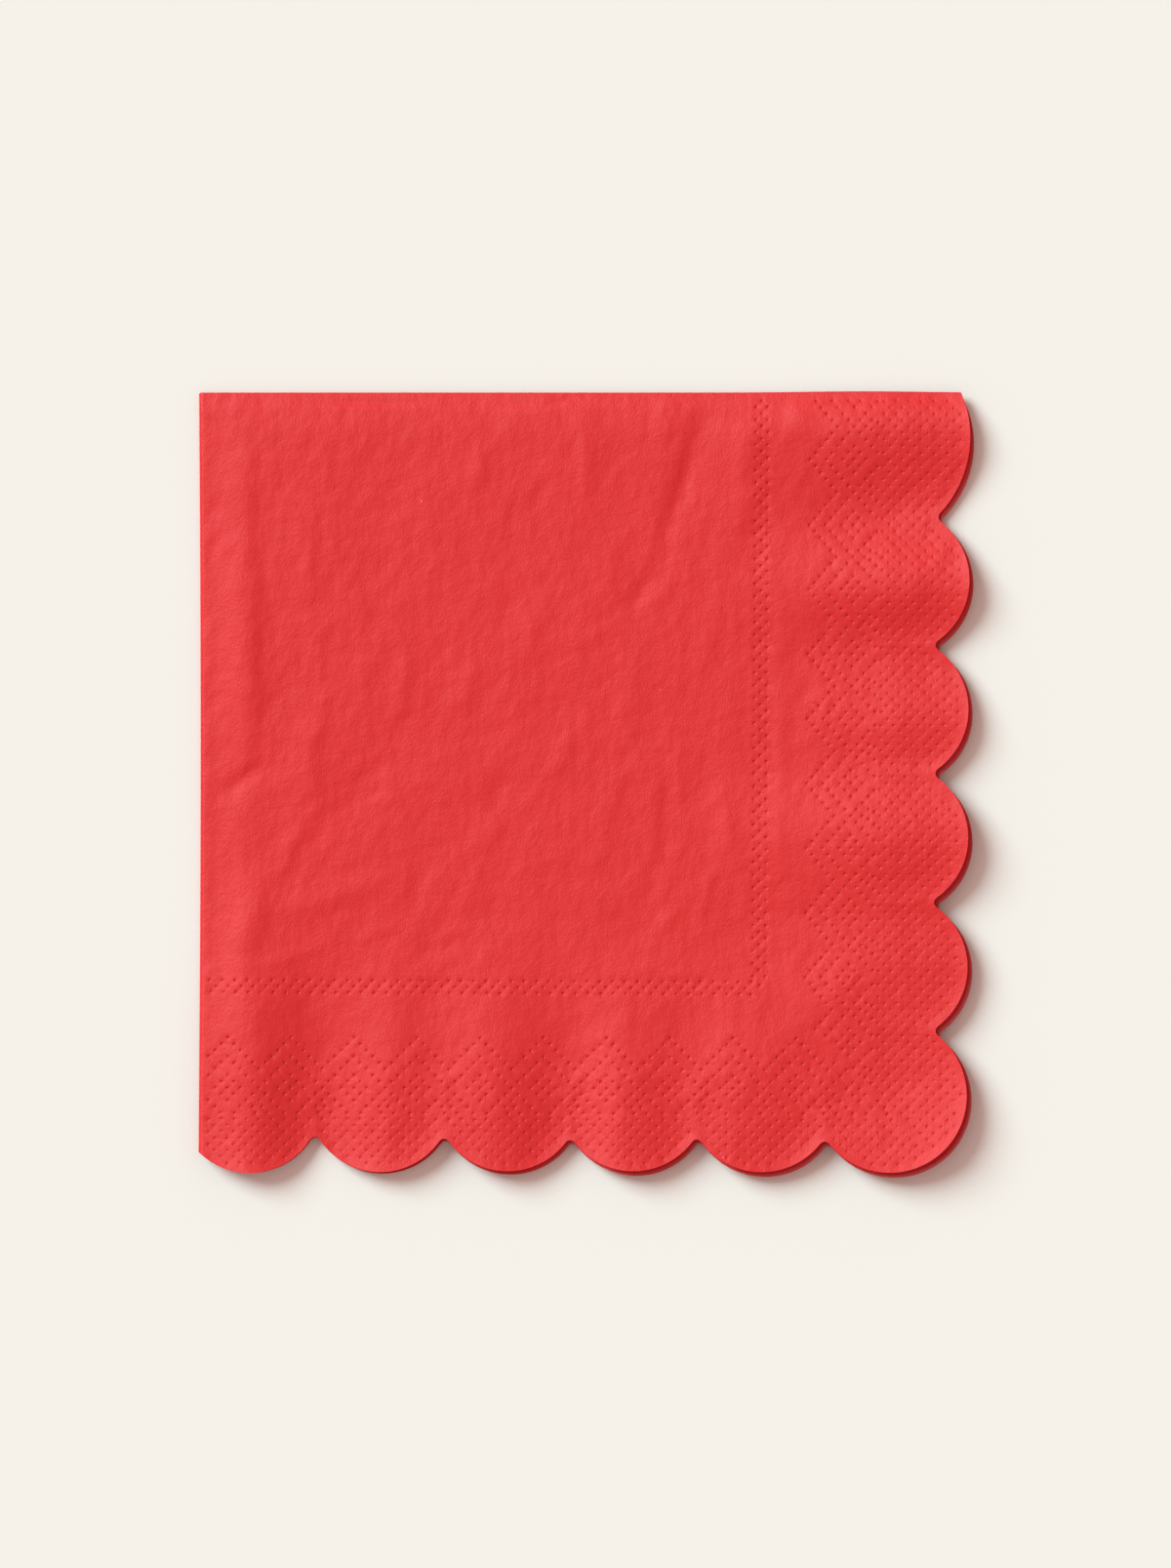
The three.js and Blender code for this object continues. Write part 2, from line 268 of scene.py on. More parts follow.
def mesh_grid(low_u, high_u, low_v, high_v, step):
    """Staggered rows of points a step apart."""
    rows = np.arange(low_v, high_v, step * math.sqrt(3) / 2)
    points = []
    for index, v in enumerate(rows):
        u = np.arange(low_u + (index % 2) * step / 2, high_u, step)
        points.append(np.stack([u, np.full(len(u), v)], 1))
    return np.concatenate(points)


FOLD_REACH = 168
LEFT_ROWS, TOP_ROWS = 9, 7
CROSSING = 0.3


def fold_rows(step):
    """Rows of points that let the paper bend round the two folds, and a patch where they cross."""
    long = np.arange(-FOLD_REACH, FOLD_REACH, step)
    points = []
    for half, flip, rows in ((LEFT_HALF, 1, LEFT_ROWS), (TOP_HALF, -1, TOP_ROWS)):
        for place in np.linspace(-half, half, rows):
            row = np.stack([np.full(len(long), place), long], 1)
            points.append(row[:, ::flip])
    points = np.concatenate(points)
    crossing = np.abs(points) <= (LEFT_HALF + CROSSING, TOP_HALF + CROSSING)
    patch = np.array([
        (u, v)
        for u in np.linspace(-LEFT_HALF, LEFT_HALF, LEFT_ROWS)
        for v in np.linspace(-TOP_HALF, TOP_HALF, TOP_ROWS)
    ])
    return np.concatenate([points[~crossing.all(1)], patch])


def rings(pins, sizes):
    """The middle of each pit and rings of points round it."""
    points = [pins]
    for turn, (radius, count) in enumerate(sizes):
        angles = (np.arange(count) + turn / 2) * 2 * math.pi / count
        for angle in angles:
            points.append(pins + radius * np.array([math.cos(angle), math.sin(angle)]))
    return np.concatenate(points)


def clear_of_folds(points, margin):
    return points[
        (np.abs(points[:, 0]) > LEFT_HALF + margin) & (np.abs(points[:, 1]) > TOP_HALF + margin)
    ]


def within(points, outline):
    """Which points lie inside the outline: a ray from them crosses it an odd number of times."""
    u, v = points[:, :1], points[:, 1:]
    (start_u, start_v), (end_u, end_v) = outline.T, np.roll(outline, -1, 0).T
    passes = (start_v > v) != (end_v > v)
    level = np.where(end_v == start_v, 1, end_v - start_v)
    crosses = start_u + (v - start_v) * (end_u - start_u) / level > u
    return (passes & crosses).sum(1) % 2 == 1


FILL_ALL_ROUND = 0
SAME_PLACE = 1e-6


def triangles_in(outline, points):
    """Fills the cut line with triangles on the given points."""
    everything = np.concatenate([outline, points])
    loop = [(i, (i + 1) % len(outline)) for i in range(len(outline))]
    made, _, faces, came_from, _, _ = delaunay_2d_cdt(
        [tuple(p) for p in everything.tolist()], loop, [], FILL_ALL_ROUND, SAME_PLACE, True
    )
    made = np.array([tuple(p) for p in made])
    faces = np.array(faces)
    place = {old: new for new, olds in enumerate(came_from) for old in olds}
    rim = np.array([place[i] for i, _ in loop])
    on_rim = np.zeros(len(made), bool)
    on_rim[rim] = True
    doubtful = on_rim[faces].all(1)
    keep = ~doubtful
    keep[doubtful] = within(made[faces[doubtful]].mean(1), outline)
    return made, faces[keep], rim


def field(grid, chart, pins=None):
    """A grid's points that keep the chart's margins from the folds, the cut edge and the pins."""
    points = clear_of_folds(mesh_grid(*grid, chart["step"]), chart["fold"])
    points = points[inside(points, chart["edge"])]
    return points if pins is None else kept_apart(points, pins, chart["pin"])


# Rings of points round a pit: radius and number of points. The charts give how far apart the
# other points lie, and how far they keep from the folds, the cut edge and the pins.
TOP_PIT = ((0.15, 5), (0.33, 7), (0.47, 8))
UNDER_PIT = ((0.45, 4),)
CREASED = {"step": 1.5, "edge": 0.7, "pin": 0.72}
TOP_FACE = {"step": 1.2, "fold": 0.5, "edge": 0.6, "pin": 0.8}
UNDER_FACE = {"step": 2.6, "fold": 0.9, "edge": 0.9, "pin": 0.95}
HIDDEN_FACE = {"step": 4.2, "fold": 1.2, "edge": 1.0}
LINING_CREASED = {"step": 2.4, "edge": 0.9}
SIDE = 170
# The fine wrinkles along the top fold: from and to across, down to, clear of the fold, and step.
FINE_FROM, FINE_TO, FINE_DOWN, FINE_CLEAR, FINE_STEP = 24, 86, 4.2, 0.5, 0.55

outline = flat_outline()
charted = quarter_pins()
top_pins = unfold(charted)
struck = inside(top_pins, PIN_MARGIN)
top_pins, forces = top_pins[struck], charted[struck, 2]
mirrored = np.abs(top_pins[:, 0]) > LEFT_HALF
under_pins = top_pins[mirrored] * (-1, 1)
creased = fold_rows(CREASED["step"])
creased = kept_apart(creased[inside(creased, CREASED["edge"])], top_pins, CREASED["pin"])
fine = mesh_grid(FINE_FROM, FINE_TO, -FINE_DOWN, -TOP_HALF - FINE_CLEAR, FINE_STEP)
front, front_faces, front_rim = triangles_in(outline, np.concatenate([
    rings(top_pins, TOP_PIT),
    rings(under_pins, UNDER_PIT),
    creased,
    field((0, SIDE, -SIDE, 0), TOP_FACE, np.concatenate([top_pins, fine])),
    fine,
    field((-SIDE, 0, -SIDE, 0), UNDER_FACE, under_pins),
    field((-SIDE, SIDE, 0, SIDE), HIDDEN_FACE),
]))
lining = fold_rows(LINING_CREASED["step"])
back, back_faces, back_rim = triangles_in(outline, np.concatenate([
    lining[inside(lining, LINING_CREASED["edge"])],
    field((-SIDE, SIDE, -SIDE, SIDE), HIDDEN_FACE),
]))

# The two faces of the sheet meet in the cut edge, where the die has pinched the plies thinner.
half_front = np.full(len(front), PLIES / 2)
half_front[front_rim] = CUT_EDGE / 2
half_back = np.full(len(back), PLIES / 2)
half_back[back_rim] = CUT_EDGE / 2
flat_points = np.concatenate([
    np.column_stack([front, half_front]),
    np.column_stack([back, -half_back]),
])
behind = len(front)
rim_a, rim_b = front_rim, np.roll(front_rim, -1)
rim_c, rim_d = np.roll(back_rim, -1) + behind, back_rim + behind
flat_faces = np.concatenate([
    front_faces,
    back_faces[:, ::-1] + behind,
    np.stack([rim_b, rim_a, rim_d], 1),
    np.stack([rim_b, rim_d, rim_c], 1),
])


def mesh_of(name, points, faces):
    mesh = bpy.data.meshes.new(name)
    mesh.from_pydata((points * MM).tolist(), [], faces.tolist())
    mesh.update()
    piece = bpy.data.objects.new(name, mesh)
    bpy.context.scene.collection.objects.link(piece)
    return piece


sheet = mesh_of("embossed_napkin", flat_points, flat_faces)
all_pins = np.concatenate([top_pins, under_pins])
pin_tips = np.column_stack([all_pins, np.full(len(all_pins), PLIES / 2)])
pins = mesh_of("pins", pin_tips, np.empty((0, 3), int))
force = pins.data.attributes.new("force", "FLOAT", "POINT")
force.data.foreach_set("value", np.concatenate([forces, forces[mirrored]]).astype(np.float32))


class Term:
    """A value in a node tree that takes part in sums as a plain number does."""

    def __init__(self, work, socket):
        self.work = work
        self.socket = socket

    def __add__(self, other):
        return self.work.sum("ADD", self, other)

    def __radd__(self, other):
        return self.work.sum("ADD", other, self)

    def __sub__(self, other):
        return self.work.sum("SUBTRACT", self, other)

    def __rsub__(self, other):
        return self.work.sum("SUBTRACT", other, self)

    def __mul__(self, other):
        return self.work.sum("MULTIPLY", self, other)

    def __rmul__(self, other):
        return self.work.sum("MULTIPLY", other, self)


class Work:
    """A node tree in the making."""

    def __init__(self, tree):
        self.tree = tree

    def node(self, kind, settings=None, values=None):
        made = self.tree.nodes.new(kind)
        for name, setting in (settings or {}).items():
            setattr(made, name, setting)
        for name, value in (values or {}).items():
            self.feed(made.inputs[name], value)
        return made

    def feed(self, socket, value):
        if isinstance(value, Term):
            value = value.socket
        if isinstance(value, bpy.types.NodeSocket):
            self.tree.links.new(value, socket)
        else:
            socket.default_value = value

    def term(self, node, output=0):
        return Term(self, node.outputs[output])

    def sum(self, operation, a, b):
        return self.term(self.node("ShaderNodeMath", {"operation": operation}, {0: a, 1: b}))


def pressing_tree():
    """Presses a pit into the sheet's face under each pin."""
    tree = bpy.data.node_groups.new("press the pins", "GeometryNodeTree")
    sockets = {}
    for name, kind in (
        ("Sheet", "NodeSocketGeometry"),
        ("Pins", "NodeSocketObject"),
        ("Pin tip", "NodeSocketFloat"),
        ("Pit radius", "NodeSocketFloat"),
        ("Pit depth", "NodeSocketFloat"),
        ("Unevenness", "NodeSocketFloat"),
        ("Seed", "NodeSocketInt"),
        ("Paper", "NodeSocketMaterial"),
        ("Mark", "NodeSocketString"),
        ("Force", "NodeSocketString"),
    ):
        sockets[name] = tree.interface.new_socket(name, in_out="INPUT", socket_type=kind).identifier
    tree.interface.new_socket("Sheet", in_out="OUTPUT", socket_type="NodeSocketGeometry")
    work = Work(tree)
    given = work.node("NodeGroupInput").outputs
    pin_points = work.node(
        "GeometryNodeObjectInfo", {"transform_space": "ORIGINAL"}, {"Object": given["Pins"]}
    ).outputs["Geometry"]
    near = work.node("GeometryNodeProximity", {"target_element": "POINTS"}, {0: pin_points})
    nearest = work.node("GeometryNodeSampleNearest", {"domain": "POINT"}, {"Geometry": pin_points})
    luck = work.node(
        "FunctionNodeRandomValue",
        {"data_type": "FLOAT"},
        {"ID": nearest.outputs["Index"], "Seed": given["Seed"]},
    )
    bowl = work.node(
        "ShaderNodeMapRange",
        {"interpolation_type": "SMOOTHSTEP"},
        {
            "Value": near.outputs["Distance"],
            "From Min": given["Pin tip"],
            "From Max": given["Pit radius"],
            "To Min": 1.0,
            "To Max": 0.0,
        },
    )
    force = work.node(
        "GeometryNodeInputNamedAttribute", {"data_type": "FLOAT"}, {"Name": given["Force"]}
    )
    felt = work.node(
        "GeometryNodeSampleIndex",
        {"data_type": "FLOAT", "domain": "POINT"},
        {"Geometry": pin_points, "Value": force.outputs[0], "Index": nearest.outputs["Index"]},
    )
    evenness = 1 - Term(work, given["Unevenness"]) * work.term(luck, 1)
    depth = evenness * Term(work, given["Pit depth"]) * work.term(felt)
    sink = -1 * depth * work.term(bowl)
    offset = work.node("ShaderNodeCombineXYZ", {}, {"Z": sink})
    pressed = work.node(
        "GeometryNodeSetPosition", {}, {"Geometry": given["Sheet"], "Offset": offset.outputs[0]}
    )
    # The mark, strongest in the middle of each pit, is later used to paint shade into the pits.
    mark = work.term(bowl) * work.term(felt)
    marked = work.node(
        "GeometryNodeStoreNamedAttribute",
        {"data_type": "FLOAT", "domain": "POINT"},
        {"Geometry": pressed.outputs[0], "Name": given["Mark"], "Value": mark},
    )
    whole = work.node("GeometryNodeRealizeInstances", {}, {"Geometry": marked.outputs[0]})
    dyed = work.node(
        "GeometryNodeSetMaterial", {}, {"Geometry": whole.outputs[0], "Material": given["Paper"]}
    )
    work.node("NodeGroupOutput", {}, {"Sheet": dyed.outputs[0]})
    return tree, sockets


# The tissue is dyed right through, a warm red, and matt. Its plies show a fine upright grain, a
# faint unevenness of dye, and here and there a pale speck of lint. The pits are painted darker:
# painted shade.
DEEP_DYE = (0.527, 0.001, 0.004, 1)
DYE = (0.586, 0.005, 0.009, 1)
THIN_DYE = (0.622, 0.009, 0.014, 1)
FIBRE = (0.695, 0.018, 0.02, 1)
LINT = (0.95, 0.55, 0.45, 1)
# The colour below is painted shade, mixed into the pits.
PIT_SHADE = (0.38, 0.0, 0.002, 1)
THIN_SHARE, FIBRE_SHARE, LINT_SHARE, PIT_SHADE_SHARE = 0.5, 0.5, 0.55, 0.5
LINT_APART = 11
LINT_SIZE = 0.013
RELIEF = 0.26
WRINKLE_SHARE, FINE_SHARE, GRAIN_SHARE = 0.75, 0.16, 0.3


def tissue():
    made = bpy.data.materials.new("red tissue")
    made.use_nodes = True
    made.node_tree.nodes.clear()
    work = Work(made.node_tree)
    place = work.node("ShaderNodeUVMap", {"uv_map": "sheet"}).outputs[0]

    def cloud(size, stretch=1.0, detail=2.0, rough=0.5):
        """Noise whose blotches are about that many millimetres wide and stretched upright."""
        turned = work.node(
            "ShaderNodeMapping",
            {},
            {"Vector": place, "Scale": (1 / (size * MM), 1 / (size * MM * stretch), 1)},
        )
        return work.term(work.node(
            "ShaderNodeTexNoise",
            {},
            {"Vector": turned.outputs[0], "Scale": 1.0, "Detail": detail, "Roughness": rough},
        ))

    def blend(amount, a, b):
        mix = work.node("ShaderNodeMix", {"data_type": "RGBA"}, {0: amount, 6: a, 7: b})
        return mix.outputs[2]

    dyed = blend(cloud(9, stretch=1.6, detail=3), DEEP_DYE, DYE)
    dyed = blend(THIN_SHARE * cloud(2.4, stretch=1.4, detail=2), dyed, THIN_DYE)
    grain = cloud(0.36, stretch=1.7, detail=2, rough=0.6)
    dyed = blend(FIBRE_SHARE * grain, dyed, FIBRE)
    lint = work.node(
        "ShaderNodeTexVoronoi",
        {"feature": "F1"},
        {"Vector": place, "Scale": 1 / (LINT_APART * MM)},
    )
    speck = work.node(
        "ShaderNodeMath", {"operation": "LESS_THAN"}, {0: lint.outputs["Distance"], 1: LINT_SIZE}
    )
    dyed = blend(LINT_SHARE * work.term(speck), dyed, LINT)
    # Where the pins pressed, the colour is darkened: painted shade in the pits.
    pressed = work.node("ShaderNodeAttribute", {"attribute_name": "pressed"})
    dyed = blend(PIT_SHADE_SHARE * work.term(pressed, "Fac"), dyed, PIT_SHADE)
    wrinkles = WRINKLE_SHARE * cloud(2.8, stretch=1.4, detail=1.5, rough=0.4)
    relief = wrinkles + FINE_SHARE * cloud(0.9, stretch=1.15, detail=1) + GRAIN_SHARE * grain
    bump = work.node(
        "ShaderNodeBump", {}, {"Height": relief, "Strength": 1.0, "Distance": RELIEF * MM}
    )
    surface = work.node(
        "ShaderNodeBsdfPrincipled",
        {},
        {
            "Base Color": dyed,
            "Roughness": 0.53,
            "Specular IOR Level": 0.6,
            "Sheen Weight": 0.15,
            "Sheen Roughness": 0.4,
            "Normal": bump.outputs[0],
        },
    )
    work.node("ShaderNodeOutputMaterial", {}, {"Surface": surface.outputs[0]})
    return made


tree, sockets = pressing_tree()
press = sheet.modifiers.new("press", "NODES")
press.node_group = tree
press[sockets["Pins"]] = pins
press[sockets["Pin tip"]] = 0.1 * MM
press[sockets["Pit radius"]] = 0.42 * MM
press[sockets["Pit depth"]] = 0.27 * MM
press[sockets["Unevenness"]] = 0.5
press[sockets["Seed"]] = 7
press[sockets["Paper"]] = tissue()
# The mark stored here is where the tissue paints shade into the pits.
press[sockets["Mark"]] = "pressed"
press[sockets["Force"]] = "force"
bpy.context.view_layer.update()
ready = sheet.evaluated_get(bpy.context.evaluated_depsgraph_get())
pressed_mesh = bpy.data.meshes.new_from_object(ready)
sheet.modifiers.remove(press)
sheet.data = pressed_mesh
bpy.data.objects.remove(pins)

# The napkin is folded by machine, first at the top and then at the left. So the top fold lies
# inside each pair of layers, and the left fold wraps the lower pair under the upper pair. The
# lower pair slid a little right and down on the way.
SLIDE_RIGHT = 0.8
SLIDE_DOWN = 0.85
SLIDE_DOWN_AT_TOP = 1.9
SLIDE_SETTLES = 28
SLIDE_WHOLE = 0.6
INNER_CREEP = 0.3

# The cut and the pins leave the border fluted. Each row is a place along the side, the height of
# the paper there above (+) or below (-) the flat stack, and how far the flute runs inwards.
BOTTOM_FLUTES = (
    (0, 1.55, 50), (10.5, 2.15, 52), (26.5, -0.25, 50), (41, 1.6, 42), (50.5, 1.25, 38),
    (62.5, 2.15, 44), (79, 0.5, 46), (91, 2.2, 42), (104, 1.25, 40), (116, 2.2, 40),
    (133, 1.5, 42), (146, 1.45, 42), (167, 4.2, 30),
)
RIGHT_FLUTES = (
    (0, 0.45, 40), (8, 1.55, 46), (25, -0.32, 44), (41, 2.45, 42), (55, 0.5, 38),
    (71, 1.85, 32), (79, 1.4, 32), (95, 3.0, 46), (113, 1.5, 40), (125, 1.95, 34),
    (146, 1.0, 42), (167, 3.8, 30),
)
FLUTES_START = 12
FLUTES_MEET = 42
LIFTED = 0.6
CURL, CURL_WIDTH = 0.4, 7.0
LIP, LIP_WIDTH = 0.14, 0.9

# The middle is not embossed, so some air stays between its layers.
PUFF = 0.45
PUFF_FROM_LEFT, PUFF_FROM_TOP, PUFF_FROM_CUT = 8.5, 9.0, 34.0
PUFF_LEFT_MARGIN, PUFF_CUT_MARGIN = 1.2, 16.0

# The creases were pressed flat, so that the stack thins towards both folds.
LEFT_PRESS, LEFT_PRESS_WIDTH = 0.12, 9.5
TOP_PRESS, TOP_PRESS_WIDTH = 0.19, 3.2
LEFT_BOW = 0.33
BOW_FADES = 30
BULGE_AT, BULGE_WIDTH, BULGE_HEIGHT = 142, 17, 0.26

# Soft ridges (+) and troughs (-) in the paper: across, down, the way they run in degrees below
# level, half length, half width on the left or upper side and on the other, height.
CREASES = (
    (10.0, 27, 91, 14, 6.0, 2.0, 0.22),
    (10.8, 55, 91, 17, 6.0, 2.2, 0.36),
    (23.6, 34, 90, 14, 6.0, 1.5, 0.18),
    (25.3, 55, 94, 6, 3.0, 1.6, 0.11),
    (25.4, 69, 90, 5, 4.0, 1.6, 0.18),
    (24.2, 80, 89, 9, 5.0, 1.5, 0.20),
    (16.5, 37, 92, 6, 1.3, 3.0, 0.10),
    (43.9, 63, 97, 7, 2.6, 1.5, 0.20),
    (48.6, 65, 95, 5, 1.5, 1.5, 0.11),
    (57.4, 63, 113, 6, 2.6, 1.8, 0.15),
    (60.3, 16, 100, 5, 2.6, 1.5, 0.14),
    (66.8, 29, 97, 6, 1.5, 1.5, -0.14),
    (70.6, 52, 95, 5, 3.2, 2.0, 0.21),
    (72.8, 24, 100, 6, 1.5, 2.6, -0.14),
    (82.2, 12, 89, 9, 1.6, 3.2, 0.17),
    (99.2, 5, 96, 5, 2.0, 3.0, 0.22),
    (105.8, 12, 107, 9, 1.9, 4.0, -0.34),
    (101.6, 25, 108, 8, 1.7, 2.6, -0.38),
    (96.4, 40, 122, 8, 2.0, 2.0, -0.26),
    (116.2, 13, 100, 6, 2.2, 3.4, 0.22),
    (115.0, 29, 112, 12, 4.0, 2.5, 0.25),
    (84.0, 52.3, 158, 5, 1.2, 1.2, 0.11),
    (127.4, 6, 100, 4, 1.8, 3.0, 0.21),
    (124.0, 74, 90, 27, 1.1, 2.5, 0.15),
    (77.9, 77.5, 110, 5, 2.2, 1.5, 0.21),
    (63.4, 86, 100, 5, 1.5, 2.0, -0.17),
    (62.2, 95, 115, 5, 3.0, 2.4, 0.20),
    (58.0, 106.5, 108, 5, 1.5, 1.5, 0.14),
    (100.0, 91, 94, 9, 1.6, 1.6, -0.17),
    (113.3, 92, 87, 8, 3.0, 1.2, 0.20),
    (108.6, 107, 100, 4, 1.2, 1.2, 0.11),
    (97.0, 105, 108, 6, 1.5, 1.5, -0.13),
    (99.7, 113, 100, 2.4, 1.5, 2.0, 0.22),
    (89.0, 86, 105, 5, 2.0, 1.6, 0.11),
    (8.8, 82.6, 145, 5.5, 1.4, 2.4, -0.33),
    (33.0, 87.6, 155, 7, 1.3, 1.4, -0.15),
    (26.2, 93.6, 115, 3.5, 1.3, 1.4, -0.17),
    (36.0, 82, 143, 7, 2.0, 2.2, -0.15),
    (29.0, 108, 160, 10, 2.6, 1.6, 0.24),
    (38.0, 115.6, 160, 5, 1.5, 1.3, 0.13),
    (52.0, 118.6, 160, 4, 1.1, 1.5, -0.14),
    (11.6, 112, 98, 7, 4.0, 2.4, 0.28),
    (19.6, 98, 115, 6, 2.6, 1.6, 0.21),
    (20.0, 91, 168, 5, 1.6, 1.2, 0.11),
    (20.5, 120.6, 162, 6, 1.4, 1.2, 0.13),
    (47.0, 104, 100, 6, 2.0, 2.0, -0.10),
    (36.0, 62, 96, 7, 2.0, 2.0, 0.08),
    (92.0, 63, 98, 9, 2.4, 2.0, 0.11),
    (108.0, 55, 104, 8, 2.2, 2.0, 0.11),
    (86.0, 97, 108, 6, 2.0, 1.8, 0.13),
    (2.5, 34.4, 80, 2.4, 1.2, 1.2, -0.20),
    (2.4, 67.5, 95, 2.6, 1.2, 1.2, -0.18),
    (2.4, 24.6, 85, 1.8, 1.0, 1.0, -0.12),
    (2.2, 17, 90, 2.0, 1.0, 1.0, -0.10),
    (2.4, 78, 90, 2.2, 1.1, 1.1, -0.12),
    (37.0, 2.3, 1, 10, 0.5, 0.5, -0.16),
    (56.0, 3.0, 1, 6, 0.6, 0.6, -0.10),
    (69.5, 2.8, 2, 4.5, 0.6, 0.6, -0.13),
    (77.5, 1.9, -18, 4, 0.6, 0.6, -0.13),
    (70.5, 4.6, 0, 5, 1.0, 1.4, 0.10),
    (1.8, 1.9, 50, 1.4, 0.9, 0.9, -0.25),
)


def fade(value, length):
    """Falls smoothly from 1 at nothing to 0 at that length."""
    share = np.clip(value / length, 0, 1)
    return 1 - share * share * (3 - 2 * share)


def flutes(along, inwards, chart):
    """Height of the paper's waves, from crest to trough along a side and dying away inwards."""
    places = np.array([row[0] for row in chart])
    after = np.clip(np.searchsorted(places, along), 1, len(chart) - 1)
    share = np.clip((along - places[after - 1]) / (places[after] - places[after - 1]), 0, 1)
    share = share * share * (3 - 2 * share)
    levels = np.stack([rise * fade(inwards - FLUTES_START, run) for _, rise, run in chart])
    points = np.arange(len(along))
    return (1 - share) * levels[after - 1, points] + share * levels[after, points]


def waves(across, down):
    """Height of the paper above the flat stack, for the top layer."""
    from_bottom = CORNER[1] + CORNER[2] - down
    from_right = CORNER[0] + CORNER[2] - across
    claims = fade(from_bottom - FLUTES_START, FLUTES_MEET)
    claims = claims + fade(from_right - FLUTES_START, FLUTES_MEET)
    height = flutes(across, from_bottom, BOTTOM_FLUTES) + flutes(down, from_right, RIGHT_FLUTES)
    return height / np.maximum(claims, 1)


def puff(across, down, over, under):
    """Extra height of the layers in the middle, where the paper is not embossed."""
    from_bottom = CORNER[1] + CORNER[2] - down - PUFF_CUT_MARGIN
    from_right = CORNER[0] + CORNER[2] - across - PUFF_CUT_MARGIN
    folds = (1 - fade(over - PUFF_LEFT_MARGIN, PUFF_FROM_LEFT)) * (1 - fade(under, PUFF_FROM_TOP))
    cuts = (1 - fade(from_bottom, PUFF_FROM_CUT)) * (1 - fade(from_right, PUFF_FROM_CUT))
    return PUFF * folds * cuts


def curl(across, down):
    """The cut edge turns up a little all round the lobes."""
    inset = np.minimum(CORNER[0] - across, CORNER[1] - down)
    for middle_across, middle_down, radius in LOBES:
        inset = np.maximum(inset, radius - np.hypot(across - middle_across, down - middle_down))
    turned_up = CURL * (1 - np.clip(inset / CURL_WIDTH, 0, 1)) ** 2
    return turned_up + LIP * (1 - np.clip(inset / LIP_WIDTH, 0, 1))


def creases(across, down):
    height = np.zeros_like(across)
    for middle_across, middle_down, run, half_length, before, after, rise in CREASES:
        cos, sin = math.cos(math.radians(run)), math.sin(math.radians(run))
        along = ((across - middle_across) * cos + (down - middle_down) * sin) / half_length
        beside = (across - middle_across) * sin - (down - middle_down) * cos
        beside /= np.where(beside < 0, before, after)
        height += rise * np.exp(-along**4 - beside**2)
    return height


# Soft and sharp wrinkles: height, how wide they are across and down, and a seed. The sharp ones
# are ridges, counted from that level.
SOFT_WRINKLES = ((0.16, 11.0, 15.0, 5.3), (0.085, 5.0, 7.0, 3.1))
SHARP_WRINKLES = (0.05, 3.0, 4.0, 8.7)
SHARP_LEVEL = 0.35


def crumple(across, down):
    """Small wrinkles, mostly upright, as handled tissue has."""
    sharp, wide, tall, seed = SHARP_WRINKLES
    heights = []
    for a, d in zip(across.tolist(), down.tolist()):
        height = 0
        for soft, soft_wide, soft_tall, soft_seed in SOFT_WRINKLES:
            height += soft * noise.noise(Vector((a / soft_wide, d / soft_tall, soft_seed)))
        ridge = abs(noise.noise(Vector((a / wide, d / tall, seed))))
        heights.append(height + sharp * (SHARP_LEVEL - ridge))
    return np.array(heights)


co = np.empty(len(pressed_mesh.vertices) * 3, np.float32)
pressed_mesh.vertices.foreach_get("co", co)
u, v, out = co.reshape(-1, 3).astype(float).T / MM
over = np.maximum(np.abs(u) - LEFT_HALF, 0)
under = np.maximum(np.abs(v) - TOP_HALF, 0)
wrap = math.pi / 2 * (1 - np.clip(u / LEFT_HALF, -1, 1))
tuck = math.pi / 2 * (1 + np.clip(v / TOP_HALF, -1, 1))
height = (INNER_BEND + out) * np.cos(tuck)
down = TOP_REACH + under - (INNER_BEND + out) * np.sin(tuck)
across = LEFT_REACH + over - (LAYER_PITCH + height) * np.sin(wrap)
up = LEFT_REACH + (LAYER_PITCH + height) * np.cos(wrap)

lower = (1 - np.cos(wrap)) / 2
inner = (1 - np.cos(tuck)) / 2
reach = over / (CORNER[0] + CORNER[2] * math.sqrt(0.5) - LEFT_REACH)
drop = under / (CORNER[1] + CORNER[2] * math.sqrt(0.5) - TOP_REACH)
slide = SLIDE_DOWN + (SLIDE_DOWN_AT_TOP - SLIDE_DOWN) * fade(under, SLIDE_SETTLES)
creep = inner * reach * drop * INNER_CREEP
across = across + lower * reach * SLIDE_RIGHT + creep
down = down + lower * (1 - fade(reach, SLIDE_WHOLE)) * slide + creep

# The level is 0 for the bottom layer and 1 for the top one.
level = (LAYER_PITCH + INNER_BEND * np.cos(tuck)) * np.cos(wrap)
level = (level + OUTER_BEND) / (2 * OUTER_BEND)
rise = waves(across, down) + curl(across, down)
up = up + rise * np.where(rise > 0, LIFTED + (1 - LIFTED) * level, level)
up = up + level * (puff(across, down, over, under) + creases(across, down) + crumple(across, down))
bow = LEFT_BOW * np.sin(math.pi * down / CORNER[1])
bulge = BULGE_HEIGHT * np.exp(-(((across - BULGE_AT) / BULGE_WIDTH) ** 2))
across = across + bow * fade(over, BOW_FADES)
up = up * (1 - LEFT_PRESS * fade(over, LEFT_PRESS_WIDTH))
up = up * (1 - TOP_PRESS * fade(under, TOP_PRESS_WIDTH))
down = down - bulge * fade(under, BOW_FADES)

folded = np.stack([across, -down, up], 1) * MM
middle = (folded.min(0) + folded.max(0)) / 2
cad_middle = np.array((cad_low + cad_high) / 2)
fold_corner = cad_middle - middle
fold_corner[2] = cad_low.z - folded[:, 2].min()
folded += fold_corner
pressed_mesh.vertices.foreach_set("co", folded.astype(np.float32).ravel())

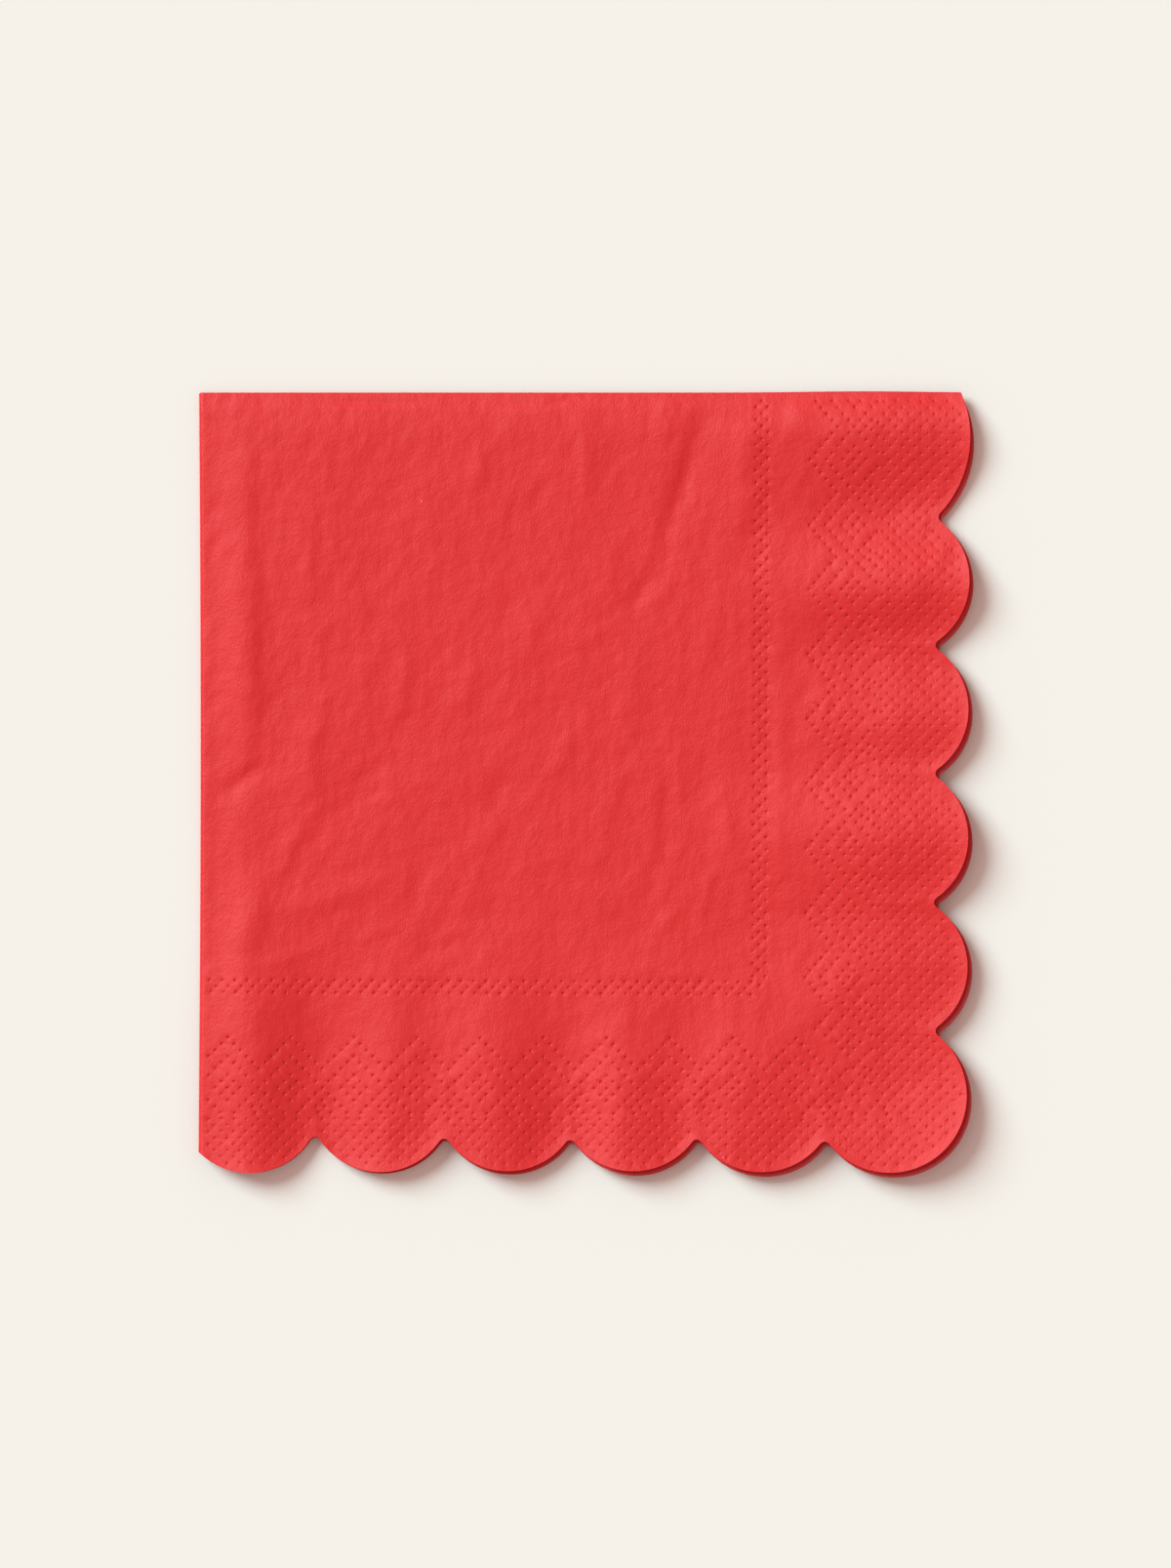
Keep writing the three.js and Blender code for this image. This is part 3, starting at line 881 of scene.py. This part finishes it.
# The flat sheet stays on the paper as a map, so that the grain follows it round the folds.
corner_point = np.empty(len(pressed_mesh.loops), np.int32)
pressed_mesh.loops.foreach_get("vertex_index", corner_point)
flat_map = pressed_mesh.uv_layers.new(name="sheet")
flat_places = np.stack([u, v], 1)[corner_point] * MM
flat_map.uv.foreach_set("vector", flat_places.astype(np.float32).ravel())
edges = np.empty(len(pressed_mesh.edges) * 2, np.int32)
pressed_mesh.edges.foreach_get("vertices", edges)
on_rim = np.zeros(len(folded), bool)
on_rim[front_rim] = True
on_rim[back_rim + behind] = True
is_front = np.arange(len(folded)) < behind
a, b = edges.reshape(-1, 2).T
cut = on_rim[a] & on_rim[b] & (is_front[a] == is_front[b])
pressed_mesh.shade_smooth()
sharp = pressed_mesh.attributes.new("sharp_edge", "BOOLEAN", "EDGE")
sharp.data.foreach_set("value", cut)
pressed_mesh.update()

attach(sheet, "root")
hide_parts("napkin")

# The napkin lies on a plain, pale cream table.
TABLE_HALF = 4.0
TABLE_GAP = 0.00002
TABLE_CREAM = (0.683, 0.847, 0.815, 1)

table_level = cad_low.z - TABLE_GAP
corners = [(-1, -1), (1, -1), (1, 1), (-1, 1)]
floor_mesh = bpy.data.meshes.new("table")
floor_mesh.from_pydata(
    [(x * TABLE_HALF, y * TABLE_HALF, table_level) for x, y in corners], [], [(0, 1, 2, 3)]
)
floor = bpy.data.objects.new("table", floor_mesh)
bpy.context.scene.collection.objects.link(floor)
cream = bpy.data.materials.new("cream table")
cream.use_nodes = True
paint = cream.node_tree.nodes["Principled BSDF"].inputs
paint["Base Color"].default_value = TABLE_CREAM
paint["Roughness"].default_value = 0.9
paint["Specular IOR Level"].default_value = 0.1
floor_mesh.materials.append(cream)

# A soft key lamp at the upper left gives light and shadow, a higher soft lamp behind it gives
# the paper's gloss alone, and the room fills in evenly.
SHADOW_RUN = (14.5, -11.0)
LAMP_COLOUR = (0.95, 1.0, 1.0)
ROOM_COLOUR = (1.0, 0.54, 0.486, 1)


def soft_lamp(name, elevation, energy, spread):
    """A lamp that shines along the run of the shadows from that many degrees above the table."""
    elevation = math.radians(elevation)
    lamp = bpy.data.lights.new(name, "SUN")
    lamp.energy = energy
    lamp.angle = spread
    lamp.color = LAMP_COLOUR
    stand = bpy.data.objects.new(name, lamp)
    level_aim = Vector(SHADOW_RUN).normalized() * math.cos(elevation)
    aim = Vector((level_aim.x, level_aim.y, -math.sin(elevation)))
    stand.rotation_mode = "QUATERNION"
    stand.rotation_quaternion = aim.to_track_quat("-Z", "Y")
    bpy.context.scene.collection.objects.link(stand)
    return stand


key = soft_lamp("key", elevation=32, energy=3.8, spread=0.55)
key.visible_glossy = False
gloss = soft_lamp("gloss", elevation=55, energy=2.05, spread=0.45)
gloss.visible_diffuse = False
room = bpy.data.worlds.new("room")
room.use_nodes = True
walls = room.node_tree.nodes["Background"].inputs
walls["Color"].default_value = ROOM_COLOUR
walls["Strength"].default_value = 0.74
room.cycles_visibility.glossy = False
bpy.context.scene.world = room
bpy.context.scene.view_settings.view_transform = "Standard"

# The camera looks straight down from well above, its picture 335 mm from top to bottom.
PICTURE_HEIGHT = 0.335
PICTURE_MIDDLE = (0.08263, -0.0837)
PAPER_LEVEL = 0.003
CAMERA_HEIGHT = 2.4
view = bpy.data.cameras.new("camera")
view.sensor_width = 36
view.lens = view.sensor_width * (CAMERA_HEIGHT - PAPER_LEVEL) / PICTURE_HEIGHT
view.clip_end = 20
camera = bpy.data.objects.new("camera", view)
camera.location = (
    fold_corner[0] + PICTURE_MIDDLE[0],
    fold_corner[1] + PICTURE_MIDDLE[1],
    cad_low.z + CAMERA_HEIGHT,
)
bpy.context.scene.collection.objects.link(camera)
bpy.context.scene.camera = camera
